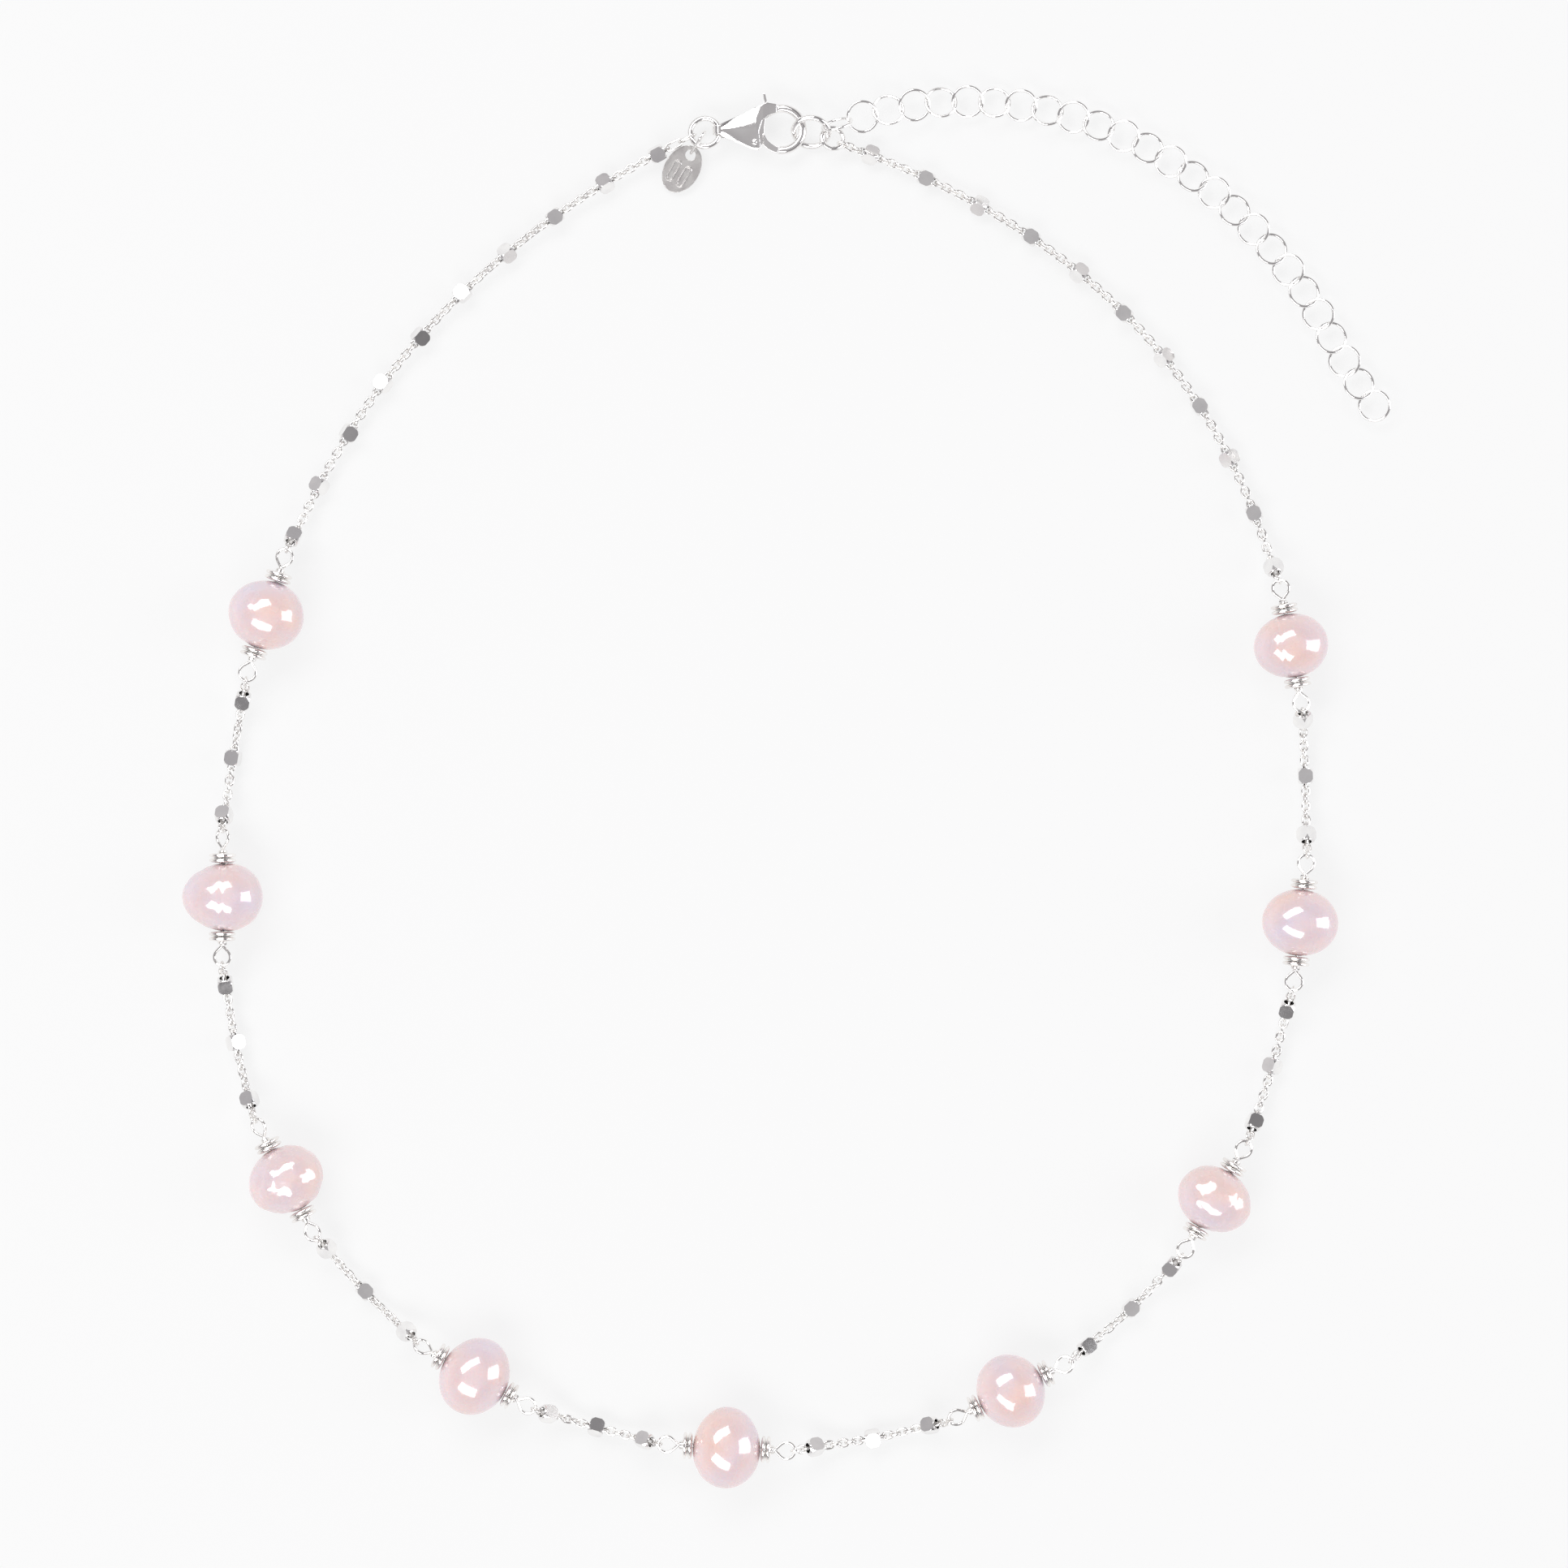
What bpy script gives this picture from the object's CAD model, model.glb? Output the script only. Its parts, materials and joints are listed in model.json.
import json
import math

import bmesh
import bpy
import numpy as np
from mathutils import Matrix, Vector, noise

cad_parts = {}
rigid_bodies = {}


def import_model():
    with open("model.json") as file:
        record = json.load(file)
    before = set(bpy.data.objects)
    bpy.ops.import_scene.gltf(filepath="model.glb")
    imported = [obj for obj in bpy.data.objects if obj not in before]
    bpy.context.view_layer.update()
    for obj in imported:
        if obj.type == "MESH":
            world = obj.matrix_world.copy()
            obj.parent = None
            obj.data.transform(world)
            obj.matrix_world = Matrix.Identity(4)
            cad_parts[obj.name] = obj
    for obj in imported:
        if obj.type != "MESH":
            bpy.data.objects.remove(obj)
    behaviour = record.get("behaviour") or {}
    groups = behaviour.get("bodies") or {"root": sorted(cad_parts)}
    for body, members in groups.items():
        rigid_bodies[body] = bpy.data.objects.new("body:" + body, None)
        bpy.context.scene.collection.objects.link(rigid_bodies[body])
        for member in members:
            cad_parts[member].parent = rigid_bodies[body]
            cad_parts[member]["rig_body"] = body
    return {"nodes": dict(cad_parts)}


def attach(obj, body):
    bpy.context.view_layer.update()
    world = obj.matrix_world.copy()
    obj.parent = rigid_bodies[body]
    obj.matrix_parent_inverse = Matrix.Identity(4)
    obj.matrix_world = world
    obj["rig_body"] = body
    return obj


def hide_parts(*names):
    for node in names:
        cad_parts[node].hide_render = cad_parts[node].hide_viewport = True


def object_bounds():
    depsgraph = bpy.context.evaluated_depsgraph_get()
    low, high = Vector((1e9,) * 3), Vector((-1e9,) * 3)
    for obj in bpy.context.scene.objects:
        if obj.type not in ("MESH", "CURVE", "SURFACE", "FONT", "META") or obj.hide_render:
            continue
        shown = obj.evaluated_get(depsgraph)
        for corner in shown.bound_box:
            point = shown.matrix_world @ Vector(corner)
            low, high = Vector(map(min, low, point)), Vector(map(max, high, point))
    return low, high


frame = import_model()
cad_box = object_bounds()
MM = 0.001

# Pearl wires: hard silver wire pushed through each pearl, turned into a teardrop eye at both
# ends and wrapped back round its own neck. Each is bent by hand, so the eyes stand at odd turns.


def solids_of(node):
    """The separate solids of a CAD node: points in mm, and each face's normal, middle and area."""
    bm = bmesh.new()
    bm.from_mesh(frame["nodes"][node].data)
    bmesh.ops.scale(bm, vec=(1000, 1000, 1000), verts=bm.verts)
    bmesh.ops.remove_doubles(bm, verts=bm.verts, dist=0.002)
    found, seen = [], set()
    for start in bm.verts:
        if start in seen:
            continue
        seen.add(start)
        group, todo = [], [start]
        while todo:
            v = todo.pop()
            group.append(v)
            for e in v.link_edges:
                w = e.other_vert(v)
                if w not in seen:
                    seen.add(w)
                    todo.append(w)
        faces = {f for v in group for f in v.link_faces}
        found.append((
            np.array([v.co[:] for v in group]),
            [(np.array(f.normal), np.array(f.calc_center_median()), f.calc_area()) for f in faces],
        ))
    bm.free()
    return found


def lie_of(points):
    """Middle, long axis, flat axis and sizes of a ring, link or strip from its points."""
    mean = points.mean(0)
    axes = np.linalg.svd(points - mean, full_matrices=False)[2]
    along = (points - mean) @ axes.T
    middle = mean + ((along.max(0) + along.min(0)) / 2) @ axes
    return middle, axes[0], axes[2], along.max(0) - along.min(0)


def stood(bm, middle, x, z):
    """Turns a shape made about the origin to lie along x with z square to it, at middle, in metres."""
    x = Vector(x).normalized()
    y = Vector(z).cross(x).normalized()
    turn = Matrix((x, y, x.cross(y))).transposed().to_4x4()
    bmesh.ops.transform(bm, matrix=Matrix.Translation(Vector(middle)) @ turn, verts=bm.verts)


def joined(bm, other):
    """Adds another shape's mesh to this one."""
    held = bpy.data.meshes.new("held")
    other.to_mesh(held)
    bm.from_mesh(held)
    bpy.data.meshes.remove(held)
    other.free()


def finished(name, bm, finish, node, crisp=40, covers=True):
    """Makes the mesh a piece that stands for a CAD node and rides on its body."""
    bmesh.ops.recalc_face_normals(bm, faces=bm.faces)
    bmesh.ops.scale(bm, vec=(MM, MM, MM), verts=bm.verts)
    mesh = bpy.data.meshes.new(name)
    bm.to_mesh(mesh)
    bm.free()
    for face in mesh.polygons:
        face.use_smooth = True
    mesh.set_sharp_from_angle(angle=math.radians(crisp))
    mesh.materials.append(finish)
    piece = bpy.data.objects.new(name, mesh)
    bpy.context.scene.collection.objects.link(piece)
    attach(piece, frame["nodes"][node]["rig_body"])
    if covers:
        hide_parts(node)
    return piece


def wire_end(bm, at, square_to, radius, sides):
    """A circle of wire section at a point; it is then bent and drawn along."""
    turn = Vector((0, 0, 1)).rotation_difference(Vector(square_to)).to_matrix().to_4x4()
    made = bmesh.ops.create_circle(
        bm, cap_ends=False, radius=radius, segments=sides, matrix=Matrix.Translation(Vector(at)) @ turn)
    return list({e for v in made["verts"] for e in v.link_edges})


def bent(bm, edges, about, angle, steps, axis=(0, 0, 1), rise=(0, 0, 0)):
    made = bmesh.ops.spin(bm, geom=edges, cent=about, axis=axis, dvec=rise, angle=angle, steps=steps)
    return [g for g in made["geom_last"] if isinstance(g, bmesh.types.BMEdge)]


def drawn(bm, edges, by):
    made = bmesh.ops.extrude_edge_only(bm, edges=edges)["geom"]
    bmesh.ops.translate(bm, vec=by, verts=[g for g in made if isinstance(g, bmesh.types.BMVert)])
    return [g for g in made if isinstance(g, bmesh.types.BMEdge)]


def capped(bm):
    open_edges = [e for e in bm.edges if e.is_boundary]
    bmesh.ops.holes_fill(bm, edges=open_edges, sides=0)


def polishing_marks():
    """Node group: light and dull places, roughness and fine marks of polished metal."""
    group = bpy.data.node_groups.new("polishing_marks", "ShaderNodeTree")
    for name, kind in (("Vector", "Vector"), ("Scale", "Float"), ("Light", "Color"), ("Dull", "Color"),
                       ("Smooth", "Float"), ("Rough", "Float")):
        group.interface.new_socket(name, in_out="INPUT", socket_type="NodeSocket" + kind)
    for name, kind in (("Color", "Color"), ("Roughness", "Float"), ("Height", "Float")):
        group.interface.new_socket(name, in_out="OUTPUT", socket_type="NodeSocket" + kind)
    n, link = group.nodes, group.links.new
    come, go = n.new("NodeGroupInput"), n.new("NodeGroupOutput")
    cloud, fine, times = n.new("ShaderNodeTexNoise"), n.new("ShaderNodeTexNoise"), n.new("ShaderNodeMath")
    times.operation = "MULTIPLY"
    times.inputs[1].default_value = 9
    cloud.inputs["Detail"].default_value = 3
    fine.inputs["Detail"].default_value = 4
    spread, tint, gloss = n.new("ShaderNodeMapRange"), n.new("ShaderNodeMix"), n.new("ShaderNodeMix")
    spread.inputs["From Min"].default_value = 0.35
    spread.inputs["From Max"].default_value = 0.68
    tint.data_type = "RGBA"
    link(come.outputs["Vector"], cloud.inputs["Vector"])
    link(come.outputs["Vector"], fine.inputs["Vector"])
    link(come.outputs["Scale"], cloud.inputs["Scale"])
    link(come.outputs["Scale"], times.inputs[0])
    link(times.outputs[0], fine.inputs["Scale"])
    link(cloud.outputs["Fac"], spread.inputs["Value"])
    link(spread.outputs["Result"], tint.inputs["Factor"])
    link(come.outputs["Light"], tint.inputs["A"])
    link(come.outputs["Dull"], tint.inputs["B"])
    link(spread.outputs["Result"], gloss.inputs["Factor"])
    link(come.outputs["Smooth"], gloss.inputs["A"])
    link(come.outputs["Rough"], gloss.inputs["B"])
    link(tint.outputs["Result"], go.inputs["Color"])
    link(gloss.outputs["Result"], go.inputs["Roughness"])
    link(fine.outputs["Fac"], go.inputs["Height"])
    return group


polish = polishing_marks()


def metal(name, light, dull, smooth, rough, scale, bump):
    """A polished or satin metal made from the polishing marks."""
    made = bpy.data.materials.new(name)
    made.use_nodes = True
    n, link = made.node_tree.nodes, made.node_tree.links.new
    shader = n["Principled BSDF"]
    shader.inputs["Metallic"].default_value = 1
    place, marks, raised = n.new("ShaderNodeTexCoord"), n.new("ShaderNodeGroup"), n.new("ShaderNodeBump")
    marks.node_tree = polish
    marks.inputs["Scale"].default_value = scale
    marks.inputs["Light"].default_value = (*light, 1)
    marks.inputs["Dull"].default_value = (*dull, 1)
    marks.inputs["Smooth"].default_value = smooth
    marks.inputs["Rough"].default_value = rough
    raised.inputs["Strength"].default_value = bump
    raised.inputs["Distance"].default_value = 0.00002
    link(place.outputs["Object"], marks.inputs["Vector"])
    link(marks.outputs["Color"], shader.inputs["Base Color"])
    link(marks.outputs["Roughness"], shader.inputs["Roughness"])
    link(marks.outputs["Height"], raised.inputs["Height"])
    link(raised.outputs["Normal"], shader.inputs["Normal"])
    return made


wire_silver = metal("bright_silver_wire", (0.93, 0.92, 0.9), (0.8, 0.78, 0.77), 0.06, 0.16, 700, 0.1)


def teardrop_eye(reach, radius, wire):
    """An eye that starts at its neck on the origin and points along x."""
    bm = bmesh.new()
    open_angle = math.asin(radius / reach)
    leg = math.sqrt(reach * reach - radius * radius)
    way = Vector((math.cos(open_angle), math.sin(open_angle), 0))
    ends = wire_end(bm, (0, 0, 0), way, wire / 2, 12)
    ends = drawn(bm, ends, way * leg)
    ends = bent(bm, ends, (reach, 0, 0), -(math.pi + 2 * open_angle), 22)
    drawn(bm, ends, Vector((-way.x, way.y, 0)) * leg)
    capped(bm)
    bmesh.ops.create_icosphere(bm, subdivisions=3, radius=wire * 0.62)
    return bm


stations = {}
for k in range(1, 10):
    node = f"discs_{k}"
    disc_solids = sorted(solids_of(node), key=lambda s: s[0].mean(0)[0])
    middles = np.array([s[0].mean(0) for s in disc_solids])
    centre = middles.mean(0)
    wire_points = solids_of(f"wire_{k}")[0][0]
    along = np.linalg.svd(middles - centre, full_matrices=False)[2][0]
    if np.dot(np.cross((0, 0, 1), along), centre) > 0:
        along = -along
    stations[k] = (centre, along, disc_solids)
    t = (wire_points - centre) @ along
    half = max(t.max(), -t.min())
    wire = 0.32
    bm = bmesh.new()
    for way in (1, -1):
        axis = along * way
        reach = 2.2 - wire / 2 - 0.84
        neck = half - 2.2
        eye_points = wire_points[(t * way) > neck + 0.9]
        flat = np.linalg.svd(eye_points - eye_points.mean(0), full_matrices=False)[2][2]
        eye = teardrop_eye(reach, 0.84, wire)
        stood(eye, centre + axis * neck, axis, flat)
        joined(bm, eye)
        wrap = bmesh.new()
        ends = wire_end(wrap, (-0.44, 0.31, 0), (0, 0, 1), wire * 0.47, 12)
        bent(wrap, ends, (-0.44, 0, 0), math.radians(520), 44, axis=(1, 0, 0), rise=(0.0052, 0, 0))
        capped(wrap)
        stood(wrap, centre + axis * (neck + 0.04), axis, flat)
        joined(bm, wrap)
    rod = bmesh.new()
    bmesh.ops.create_cone(rod, cap_ends=True, segments=16, radius1=wire / 2, radius2=wire / 2, depth=2 * neck,
                          matrix=Matrix.Rotation(math.pi / 2, 4, "Y"))
    stood(rod, centre, along, (0, 0, 1))
    joined(bm, rod)
    finished(f"wrapped_wire_{k}", bm, wire_silver, f"wire_{k}")

# Spacer discs: two thin lens-shaped discs of polished silver, stacked on the wire against
# each end of the pearl. They are stamped and drilled, and the wrap holds them tight.
disc_silver = metal("polished_disc_silver", (0.95, 0.93, 0.91), (0.85, 0.82, 0.8), 0.04, 0.1, 500, 0.06)
for k, (centre, along, disc_solids) in stations.items():
    bm = bmesh.new()
    for points, faces in disc_solids:
        middle = points.mean(0)
        disc = bmesh.new()
        outline = [(-0.2, 0.19), (-0.245, 0.5), (-0.24, 0.8), (-0.215, 1.08), (-0.16, 1.28), (-0.08, 1.368),
                   (0.08, 1.368), (0.16, 1.28), (0.215, 1.08), (0.24, 0.8), (0.245, 0.5), (0.2, 0.19)]
        corners = [disc.verts.new((x, r, 0)) for x, r in outline]
        edges = [disc.edges.new((corners[i], corners[(i + 1) % len(corners)])) for i in range(len(corners))]
        bmesh.ops.spin(disc, geom=corners + edges, cent=(0, 0, 0), axis=(1, 0, 0), dvec=(0, 0, 0),
                       angle=2 * math.pi, steps=56, use_merge=True)
        stood(disc, middle, along, (0, 0, 1))
        joined(bm, disc)
    finished(f"lens_discs_{k}", bm, disc_silver, f"discs_{k}", crisp=50)

# Pearls: freshwater pearls, drilled across and threaded on the wires. Nacre grows in thin layers
# over a bead, so each pearl keeps its own swelling, growth rings and skin.


def nacre_layers():
    """Node group: drifting body, peach and lilac colours of nacre, with its fine skin."""
    group = bpy.data.node_groups.new("nacre_layers", "ShaderNodeTree")
    for name, kind in (("Vector", "Vector"), ("Scale", "Float"), ("Body", "Color"), ("Peach", "Color"),
                       ("Lilac", "Color")):
        group.interface.new_socket(name, in_out="INPUT", socket_type="NodeSocket" + kind)
    for name, kind in (("Color", "Color"), ("Roughness", "Float"), ("Height", "Float")):
        group.interface.new_socket(name, in_out="OUTPUT", socket_type="NodeSocket" + kind)
    n, link = group.nodes, group.links.new
    come, go = n.new("NodeGroupInput"), n.new("NodeGroupOutput")
    warm, cool, skin = n.new("ShaderNodeTexNoise"), n.new("ShaderNodeTexNoise"), n.new("ShaderNodeTexNoise")
    double, many = n.new("ShaderNodeMath"), n.new("ShaderNodeMath")
    first, second, gloss = n.new("ShaderNodeMix"), n.new("ShaderNodeMix"), n.new("ShaderNodeMapRange")
    for maths, by in ((double, 1.7), (many, 7)):
        maths.operation = "MULTIPLY"
        maths.inputs[1].default_value = by
        link(come.outputs["Scale"], maths.inputs[0])
    link(come.outputs["Scale"], warm.inputs["Scale"])
    link(double.outputs[0], cool.inputs["Scale"])
    link(many.outputs[0], skin.inputs["Scale"])
    for cloud in (warm, cool, skin):
        cloud.inputs["Detail"].default_value = 2
        link(come.outputs["Vector"], cloud.inputs["Vector"])
    masks = []
    for cloud in (warm, cool):
        mask = n.new("ShaderNodeMapRange")
        mask.inputs["From Min"].default_value = 0.3
        mask.inputs["From Max"].default_value = 0.75
        link(cloud.outputs["Fac"], mask.inputs["Value"])
        masks.append(mask)
    first.data_type = second.data_type = "RGBA"
    link(masks[0].outputs["Result"], first.inputs["Factor"])
    link(come.outputs["Body"], first.inputs["A"])
    link(come.outputs["Peach"], first.inputs["B"])
    link(masks[1].outputs["Result"], second.inputs["Factor"])
    link(first.outputs["Result"], second.inputs["A"])
    link(come.outputs["Lilac"], second.inputs["B"])
    gloss.inputs["To Min"].default_value = 0.2
    gloss.inputs["To Max"].default_value = 0.34
    link(skin.outputs["Fac"], gloss.inputs["Value"])
    link(second.outputs["Result"], go.inputs["Color"])
    link(gloss.outputs["Result"], go.inputs["Roughness"])
    link(skin.outputs["Fac"], go.inputs["Height"])
    return group


nacre_group = nacre_layers()


def nacre(name, body, peach, lilac, bump):
    made = bpy.data.materials.new(name)
    made.use_nodes = True
    n, link = made.node_tree.nodes, made.node_tree.links.new
    shader = n["Principled BSDF"]
    for socket, value in (("Coat Weight", 1), ("Coat Roughness", 0.06), ("Coat IOR", 1.95), ("IOR", 1.6),
                          ("Sheen Weight", 0.25), ("Sheen Roughness", 0.4), ("Subsurface Weight", 0.15), ("Subsurface Scale", 0.0006)):
        shader.inputs[socket].default_value = value
    shader.inputs["Sheen Tint"].default_value = (1, 0.68, 0.7, 1)
    shader.inputs["Coat Tint"].default_value = (1, 0.97, 0.98, 1)
    place, layers, raised = n.new("ShaderNodeTexCoord"), n.new("ShaderNodeGroup"), n.new("ShaderNodeBump")
    layers.node_tree = nacre_group
    layers.inputs["Scale"].default_value = 130
    layers.inputs["Body"].default_value = (*body, 1)
    layers.inputs["Peach"].default_value = (*peach, 1)
    layers.inputs["Lilac"].default_value = (*lilac, 1)
    raised.inputs["Strength"].default_value = bump
    raised.inputs["Distance"].default_value = 0.00006
    link(place.outputs["Object"], layers.inputs["Vector"])
    link(layers.outputs["Color"], shader.inputs["Base Color"])
    link(layers.outputs["Roughness"], shader.inputs["Roughness"])
    link(layers.outputs["Height"], raised.inputs["Height"])
    link(raised.outputs["Normal"], shader.inputs["Normal"])
    return made


smooth_nacre = nacre("smooth_nacre", (0.66, 0.53, 0.53), (0.72, 0.51, 0.43), (0.6, 0.54, 0.61), 0.02)
rippled_nacre = nacre("rippled_nacre", (0.68, 0.54, 0.52), (0.74, 0.53, 0.43), (0.61, 0.53, 0.58), 0.22)
# For each pearl: growth rings as (place towards the inside of the necklace, depth, width), then
# the height of its bumps; and how much fatter its inner end is
GROWTH = {
    1: ([(-1.3, 0.03, 0.35)], 0.035), 2: ([(0.2, 0.07, 0.22), (-2.2, 0.04, 0.3)], 0.03),
    3: ([(1.2, 0.03, 0.3)], 0.11), 4: ([], 0.012), 5: ([(-2.4, 0.03, 0.3)], 0.02),
    6: ([], 0.03), 7: ([(-1.9, 0.06, 0.25), (2.3, 0.03, 0.3)], 0.07),
    8: ([(-0.7, 0.035, 0.12), (-1.15, 0.03, 0.12), (-1.6, 0.03, 0.12)], 0.018), 9: ([(1.25, 0.055, 0.14)], 0.02),
}
SWELL = {1: 0.02, 2: 0.1, 3: 0.04, 4: -0.03, 5: -0.05, 6: 0.0, 7: 0.04, 8: 0.0, 9: -0.02}
for k, (centre, along, disc_solids) in stations.items():
    points = solids_of(f"pearl_{k}")[0][0] - centre
    across = np.cross((0, 0, 1), along)
    long_half = np.abs(points @ across).max()
    mid_half = np.abs(points @ along).max()
    rings, bumps = GROWTH[k]
    bm = bmesh.new()
    first = math.asin(0.225 / mid_half)
    arc = [first + (math.pi - 2 * first) * i / 72 for i in range(73)]
    corners = [bm.verts.new((mid_half * math.cos(a), mid_half * math.sin(a), 0)) for a in arc]
    edges = [bm.edges.new((corners[i], corners[(i + 1) % 73])) for i in range(73)]
    bmesh.ops.spin(bm, geom=corners + edges, cent=(0, 0, 0), axis=(1, 0, 0), dvec=(0, 0, 0),
                   angle=2 * math.pi, steps=120, use_merge=True)
    for v in bm.verts:
        if v.co.yz.length < 0.24:
            continue
        across_at = v.co.y / mid_half
        fat = 1 + SWELL[k] * across_at
        v.co.x *= fat
        v.co.z *= fat
        v.co.y *= long_half / mid_half
        deep = sum(depth * math.exp(-((v.co.y - at) / wide) ** 2) for at, depth, wide in rings)
        lump = noise.noise(v.co * 0.75 + Vector((k * 9, 0, 0))) - 0.55 + 0.35 * noise.noise(v.co * 2 + Vector((0, k * 5, 0)))
        v.co *= 1 + (bumps * lump - deep * (1 + 0.5 * noise.noise(v.co * 0.6))) / v.co.length
    stood(bm, centre, along, (0, 0, 1))
    finished(f"drilled_pearl_{k}", bm, rippled_nacre if k in (3, 7) else smooth_nacre, f"pearl_{k}", crisp=60)

# Cable chain: fine oval links of silver wire, each closed round the last and soldered.
# Longer links carry the box beads, and two coarser links join the chain to the clasp.


def oval_link(length, width, wire, sides, steps):
    """A closed link that lies flat on x and y."""
    bm = bmesh.new()
    half, run = (width - wire) / 2, (length - width) / 2
    ends = wire_end(bm, (-run, half, 0), (1, 0, 0), wire / 2, sides)
    ends = drawn(bm, ends, (2 * run, 0, 0))
    ends = bent(bm, ends, (run, 0, 0), -math.pi, steps)
    ends = drawn(bm, ends, (-2 * run, 0, 0))
    bent(bm, ends, (-run, 0, 0), -math.pi, steps)
    bmesh.ops.remove_doubles(bm, verts=bm.verts, dist=0.002)
    return bm


chain_silver = metal("fine_chain_silver", (0.92, 0.91, 0.89), (0.74, 0.72, 0.71), 0.08, 0.2, 900, 0.1)
bead_silver = metal("cut_bead_silver", (0.94, 0.93, 0.92), (0.84, 0.83, 0.83), 0.04, 0.12, 600, 0.05)
bead_places = {}
for node in [n for n in frame["nodes"] if n.startswith("chain_")]:
    bm = bmesh.new()
    bead_places[node] = []
    links = []
    for points, faces in solids_of(node):
        middle, long_way, flat, size = lie_of(points)
        if size[2] > 0.6:
            bead_places[node].append((middle, faces))
        else:
            links.append((middle, long_way, flat, size))
            link = oval_link(size[0], size[1], size[2], 8, 5)
            stood(link, middle, long_way, flat)
            joined(bm, link)
    bead_places[node] = [
        (middle, min(links, key=lambda ln: np.linalg.norm(ln[0] - middle))[1], faces)
        for middle, faces in bead_places[node]
    ]
    finished(f"cable_{node}", bm, chain_silver, node, crisp=70)

# Box beads: short barrels of silver, bored through, with four flats cut on them by a diamond
# tool and a thin lip left at each end. They are threaded on the chain's longer links.


def box_bead(length, across_flats, ball, bore):
    """A barrel along x with its flats square to y and z."""
    bm = bmesh.new()
    lip = length / 2
    edge = lip - 0.07
    outline = [(-lip, bore / 2), (-lip, 0.63), (-lip + 0.03, 0.66), (-edge, 0.66)]
    outline += [(x * edge, math.sqrt(ball * ball / 4 - (x * edge) ** 2)) for x in (-0.98, -0.8, -0.5, -0.2, 0.2, 0.5, 0.8, 0.98)]
    outline += [(edge, 0.66), (lip - 0.03, 0.66), (lip, 0.63), (lip, bore / 2)]
    corners = [bm.verts.new((x, r, 0)) for x, r in outline]
    edges = [bm.edges.new((corners[i], corners[(i + 1) % len(corners)])) for i in range(len(corners))]
    bmesh.ops.spin(bm, geom=corners + edges, cent=(0, 0, 0), axis=(1, 0, 0), dvec=(0, 0, 0),
                   angle=2 * math.pi, steps=32, use_merge=True)
    for way in ((0, 1, 0), (0, -1, 0), (0, 0, 1), (0, 0, -1)):
        cut = bmesh.ops.bisect_plane(bm, geom=bm.verts[:] + bm.edges[:] + bm.faces[:], dist=1e-5,
                                     plane_co=Vector(way) * across_flats / 2, plane_no=way, clear_outer=True)
        rim = [g for g in cut["geom_cut"] if isinstance(g, bmesh.types.BMEdge)]
        bmesh.ops.holes_fill(bm, edges=rim, sides=0)
    return bm


for node, places in bead_places.items():
    bm = bmesh.new()
    for middle, along, faces in places:
        flats = [f for f in faces if abs(np.dot(f[0], along)) < 0.05
                 and np.linalg.norm(np.cross(f[1] - middle, along)) > 0.6]
        square = max(flats, key=lambda f: f[2])[0]
        bead = box_bead(1.6, 1.45, 2.16, 1.04)
        stood(bead, middle, along, square)
        joined(bm, bead)
    finished(f"beads_{node}", bm, bead_silver, node, crisp=28, covers=False)

# Clasp: a cast and polished lobster clasp. Its body carries the fixed hook and a tail eye, and
# is slotted for the lever, which turns on a rivet and is pushed shut by a small bent spring.
clasp_silver = metal("cast_clasp_silver", (0.93, 0.92, 0.91), (0.82, 0.8, 0.79), 0.05, 0.13, 350, 0.08)


def cast_from(node, grain, rounds):
    """A copy of a CAD solid with the soft edges of a polished casting."""
    bm = bmesh.new()
    bm.from_mesh(frame["nodes"][node].data)
    bmesh.ops.scale(bm, vec=(1000, 1000, 1000), verts=bm.verts)
    bmesh.ops.remove_doubles(bm, verts=bm.verts, dist=0.002)
    mesh = bpy.data.meshes.new("casting")
    bm.to_mesh(mesh)
    bm.free()
    held = bpy.data.objects.new("casting", mesh)
    bpy.context.scene.collection.objects.link(held)
    fine = held.modifiers.new("grain", "REMESH")
    fine.mode = "VOXEL"
    fine.voxel_size = grain
    soft = held.modifiers.new("polish", "SMOOTH")
    soft.factor = 0.5
    soft.iterations = rounds
    made = bpy.data.meshes.new_from_object(held.evaluated_get(bpy.context.evaluated_depsgraph_get()))
    bpy.data.objects.remove(held)
    bm = bmesh.new()
    bm.from_mesh(made)
    return bm


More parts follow.
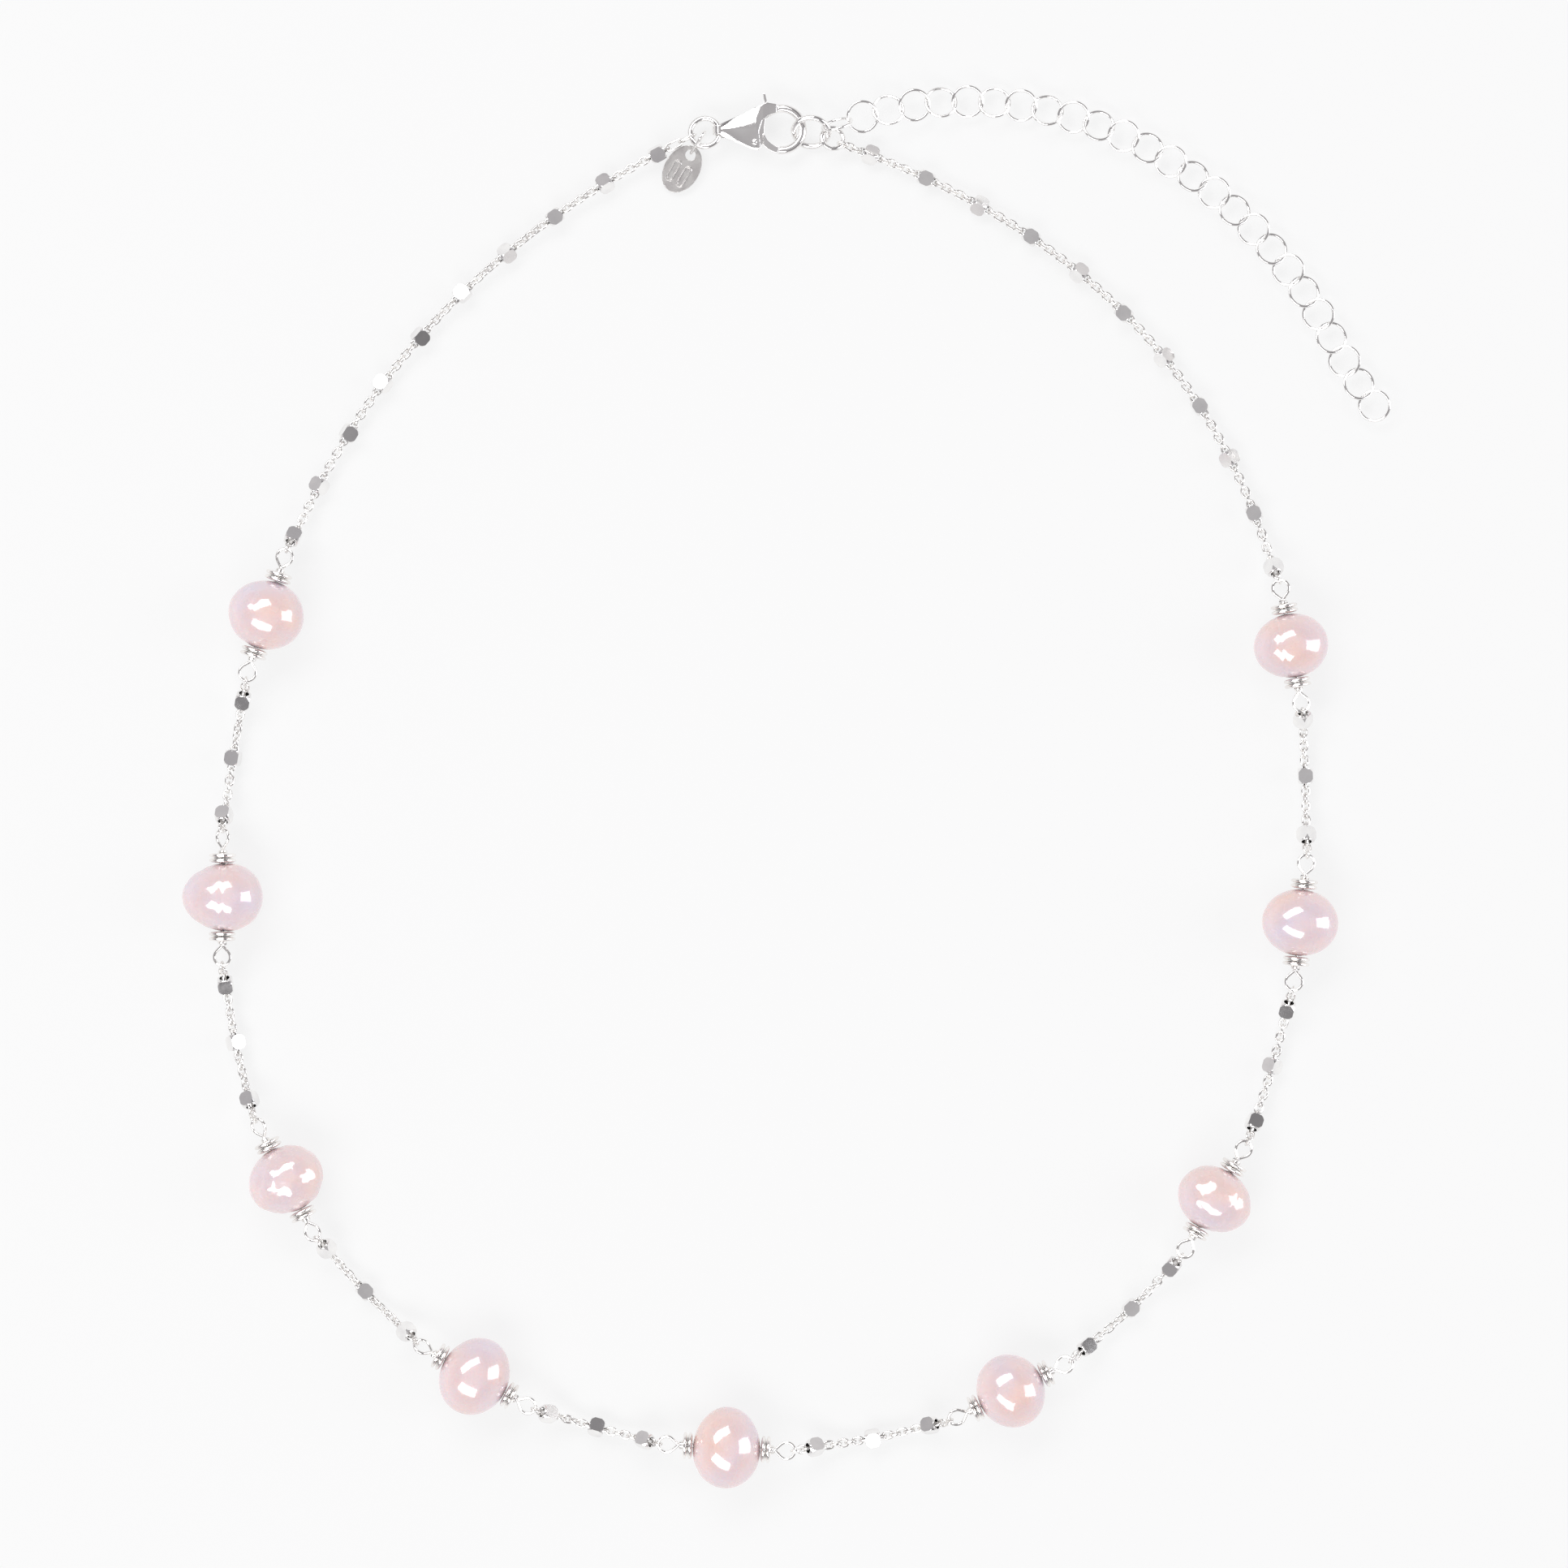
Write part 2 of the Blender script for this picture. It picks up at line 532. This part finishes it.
pin_points = solids_of("lever_pin")[0][0]
pin_middle = (pin_points.max(0) + pin_points.min(0)) / 2
clasp_turn = Matrix.Rotation(math.radians(181), 4, "Z")
claw_middle = Vector(pin_middle) - clasp_turn @ Vector((2.78, 1.32, 0))
to_clasp = (Matrix.Translation(claw_middle) @ clasp_turn).inverted()
bm = cast_from("clasp_body", 0.045, 5)
bmesh.ops.transform(bm, matrix=to_clasp, verts=bm.verts)
edge_up = [(0.5, -1.7), (1.5, 2.25), (2.35, 2.02), (3.1, 1.9), (4.4, 1.3), (5.9, 0.75), (6.3, 0.64)]
edge_down = [(0.5, -2.55), (1.5, -2.72), (2.7, -2.22), (3.95, -1.6), (6.3, -0.64)]
for v in bm.verts:
    x, y = v.co.x, v.co.y
    if x < 0.3 or x > 6.2:
        continue
    top = np.interp(x, [e[0] for e in edge_up], [e[1] for e in edge_up])
    low = np.interp(x, [e[0] for e in edge_down], [e[1] for e in edge_down])
    across = min(1, abs(y - (top + low) / 2) / max(0.3, (top - low) / 2))
    blend = min(1, max(0, (x - 1.9) / 0.8))
    crown = 1 - blend * 0.4 * across ** 1.4
    most = np.interp(x, [0.3, 1.2, 2.6, 6.3], [0.42, 0.55, 0.8, 0.72]) * crown
    if abs(v.co.z) > 0.36:
        v.co.z = math.copysign(0.36 + (abs(v.co.z) - 0.36) * (most - 0.36) / 0.44, v.co.z)
    if abs(v.co.z) > most:
        v.co.z = math.copysign(most, v.co.z)
for turn in range(6):
    bmesh.ops.smooth_vert(bm, verts=[v for v in bm.verts if 0 < v.co.x < 2.2], factor=0.5,
                          use_axis_x=True, use_axis_y=True, use_axis_z=True)
bmesh.ops.transform(bm, matrix=to_clasp.inverted(), verts=bm.verts)
finished("clasp_casting", bm, clasp_silver, "clasp_body", crisp=60)
finished("clasp_lever", cast_from("lever", 0.03, 4), clasp_silver, "lever", crisp=60)

# Rivet: a silver pin through both cheeks of the clasp, with its two ends peened into low domes.
bm = bmesh.new()
outline = [(-0.8, 0), (-0.78, 0.14), (-0.74, 0.22), (-0.68, 0.25), (0.68, 0.25), (0.74, 0.22), (0.78, 0.14), (0.8, 0)]
corners = [bm.verts.new((r, 0, z)) for z, r in outline]
edges = [bm.edges.new((corners[i], corners[i + 1])) for i in range(len(corners) - 1)]
bmesh.ops.spin(bm, geom=corners + edges, cent=(0, 0, 0), axis=(0, 0, 1), dvec=(0, 0, 0), angle=2 * math.pi,
               steps=32, use_merge=True)
bmesh.ops.remove_doubles(bm, verts=bm.verts, dist=0.001)
stood(bm, pin_middle, (1, 0, 0), (0, 0, 1))
finished("clasp_rivet", bm, clasp_silver, "lever_pin")

# Spring: a bent strip of spring steel between the lever's arm and the end of the slot.
spring_steel = metal("spring_steel_strip", (0.5, 0.5, 0.51), (0.33, 0.32, 0.32), 0.2, 0.4, 800, 0.2)
frame["nodes"]["lever_spring"].data.materials.clear()
frame["nodes"]["lever_spring"].data.materials.append(spring_steel)

# Jump rings: round wire rings, closed and soldered, that join the clasp to the two ends of the
# chain. The tag hangs on a ring of two turns, like a very small key ring.
ring_silver = metal("jump_ring_silver", (0.94, 0.93, 0.92), (0.8, 0.79, 0.78), 0.05, 0.14, 500, 0.08)


def round_ring(outside, wire, sides, steps):
    bm = bmesh.new()
    ends = wire_end(bm, ((outside - wire) / 2, 0, 0), (0, 1, 0), wire / 2, sides)
    bmesh.ops.spin(bm, geom=ends, cent=(0, 0, 0), axis=(0, 0, 1), dvec=(0, 0, 0), angle=2 * math.pi,
                   steps=steps, use_merge=True)
    bmesh.ops.remove_doubles(bm, verts=bm.verts, dist=0.002)
    return bm


for node in ("tail_ring", "small_ring", "big_ring"):
    middle, long_way, flat, size = lie_of(solids_of(node)[0][0])
    bm = round_ring(size[0], size[2], 20, 96)
    stood(bm, middle, long_way, flat)
    finished(f"round_{node}", bm, ring_silver, node, crisp=70)
bm = bmesh.new()
for points, faces in solids_of("tag_ring"):
    middle, long_way, flat, size = lie_of(points)
    turn = oval_link(size[0], size[1], 0.28, 14, 20)
    stood(turn, middle, long_way, flat)
    joined(bm, turn)
finished("two_turn_tag_ring", bm, ring_silver, "tag_ring", crisp=70)

# Tag: an oval of rolled silver with a hole near one end and two raised frames, left blank. Its
# faces are brushed to a satin grey.
tag_silver = metal("satin_tag_silver", (0.6, 0.58, 0.57), (0.46, 0.45, 0.44), 0.3, 0.45, 900, 0.35)
finished("oval_tag", cast_from("tag", 0.035, 2), tag_silver, "tag", crisp=60)

# Extender: round rings linked one through the next, so the claw can close on any of them.
for node in [n for n in frame["nodes"] if n.startswith("extender_")]:
    bm = bmesh.new()
    for points, faces in solids_of(node):
        middle, long_way, flat, size = lie_of(points)
        ring = round_ring(size[0], size[2], 10, 44)
        stood(ring, middle, long_way, flat)
        joined(bm, ring)
    finished(f"rings_{node}", bm, ring_silver, node, crisp=70)

# Table: a plain matt white top that glows a little, so only faint shadows show on it.
bm = bmesh.new()
bmesh.ops.create_grid(bm, x_segments=1, y_segments=1, size=1.2, matrix=Matrix.Translation((0, 0, cad_box[0][2] - 0.00002)))
mesh = bpy.data.meshes.new("table_top")
bm.to_mesh(mesh)
bm.free()
table_white = bpy.data.materials.new("matt_table_white")
table_white.use_nodes = True
shader = table_white.node_tree.nodes["Principled BSDF"]
shader.inputs["Base Color"].default_value = (0.12, 0.12, 0.12, 1)
shader.inputs["Roughness"].default_value = 0.9
shader.inputs["Specular IOR Level"].default_value = 0
shader.inputs["Emission Color"].default_value = (1, 1, 1, 1)
shader.inputs["Emission Strength"].default_value = 0.79
mesh.materials.append(table_white)
table_top = bpy.data.objects.new("table_top", mesh)
bpy.context.scene.collection.objects.link(table_top)

# Studio: two wide soft boxes, one towards each end of the table, a paler one on the right and
# a dim room. The camera looks straight down.


def soft_box(name, place, wide, high, glow, colour):
    lamp = bpy.data.lights.new(name, "AREA")
    lamp.shape = "RECTANGLE"
    lamp.size = wide
    lamp.size_y = high
    lamp.energy = glow * math.pi * wide * high
    lamp.color = colour
    box = bpy.data.objects.new(name, lamp)
    box.location = place
    box.rotation_euler = Vector(place).to_track_quat("Z", "Y").to_euler()
    bpy.context.scene.collection.objects.link(box)


soft_box("lower_box", (-0.2, -0.37, 0.5), 0.68, 0.27, 5, (1, 1, 1))
soft_box("upper_box", (-0.2, 0.37, 0.5), 0.68, 0.27, 5, (1, 1, 1))
soft_box("right_box", (0.56, 0, 0.26), 0.34, 0.5, 3.4, (0.95, 0.96, 1))
world = bpy.data.worlds.new("dim_room")
world.use_nodes = True
n, link = world.node_tree.nodes, world.node_tree.links.new
facing, parted, bands = n.new("ShaderNodeTexCoord"), n.new("ShaderNodeSeparateXYZ"), n.new("ShaderNodeValToRGB")
bands.color_ramp.elements[0].position = 0
bands.color_ramp.elements[0].color = (0.8, 0.78, 0.78, 1)
bands.color_ramp.elements[1].position = 1
bands.color_ramp.elements[1].color = (0.5, 0.49, 0.5, 1)
for height, grey in ((0.35, 0.5), (0.52, 0.25), (0.72, 0.2), (0.88, 0.42)):
    bands.color_ramp.elements.new(height).color = (grey, grey * 0.97, grey, 1)
link(facing.outputs["Generated"], parted.inputs["Vector"])
link(parted.outputs["Z"], bands.inputs["Fac"])
link(bands.outputs["Color"], n["Background"].inputs["Color"])
bpy.context.scene.world = world
bpy.context.scene.view_settings.view_transform = "Standard"
lens = bpy.data.cameras.new("overhead")
lens.lens = 110
camera = bpy.data.objects.new("overhead", lens)
camera.location = (-0.0004, 0.0001, 0.491)
bpy.context.scene.collection.objects.link(camera)
bpy.context.scene.camera = camera
